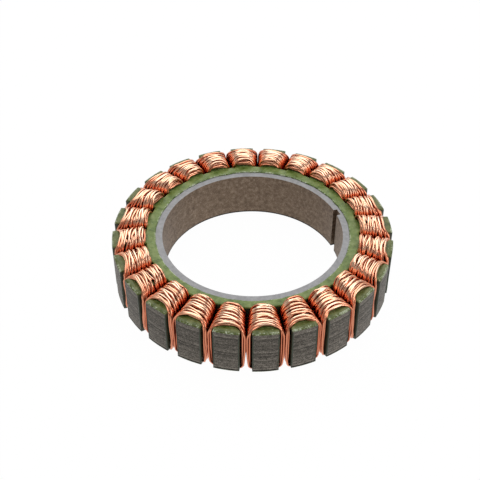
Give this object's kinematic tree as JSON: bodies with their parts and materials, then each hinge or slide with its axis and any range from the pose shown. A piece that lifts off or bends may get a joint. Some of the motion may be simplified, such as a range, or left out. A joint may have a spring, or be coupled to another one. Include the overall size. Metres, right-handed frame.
{
  "type": "frameless motor stator",
  "caption": "Wound ring stator of a frameless outer-rotor motor: laminated steel teeth facing outwards, green epoxy coat, copper coils and a plain keyed bore.",
  "frame": {"origin": "on the bore's axis, at the middle of the lamination stack's height", "axes": "+Z along the bore's axis; +X through the middle of the keyway and of tooth 1"},
  "size_m": [0.08, 0.08, 0.0212],
  "materials": {
    "electrical_steel": "bare punched sheet, satin",
    "epoxy_coat": "glossy green powder coat",
    "enamelled_copper": "shiny enamelled copper wire"
  },
  "bodies": {
    "root": {"lamination_stack": "electrical_steel", "slot_coat": "epoxy_coat", "coil_01": "enamelled_copper", "coil_02": "enamelled_copper", "coil_03": "enamelled_copper", "coil_04": "enamelled_copper", "coil_05": "enamelled_copper", "coil_06": "enamelled_copper", "coil_07": "enamelled_copper", "coil_08": "enamelled_copper", "coil_09": "enamelled_copper", "coil_10": "enamelled_copper", "coil_11": "enamelled_copper", "coil_12": "enamelled_copper", "coil_13": "enamelled_copper", "coil_14": "enamelled_copper", "coil_15": "enamelled_copper", "coil_16": "enamelled_copper", "coil_17": "enamelled_copper", "coil_18": "enamelled_copper", "coil_19": "enamelled_copper", "coil_20": "enamelled_copper", "coil_21": "enamelled_copper", "coil_22": "enamelled_copper", "coil_23": "enamelled_copper", "coil_24": "enamelled_copper", "link_u_1": "enamelled_copper", "link_u_2": "enamelled_copper", "link_u_3": "enamelled_copper", "link_v_1": "enamelled_copper", "link_v_2": "enamelled_copper", "link_v_3": "enamelled_copper", "link_w_1": "enamelled_copper", "link_w_2": "enamelled_copper", "link_w_3": "enamelled_copper"}
  },
  "joints": []
}
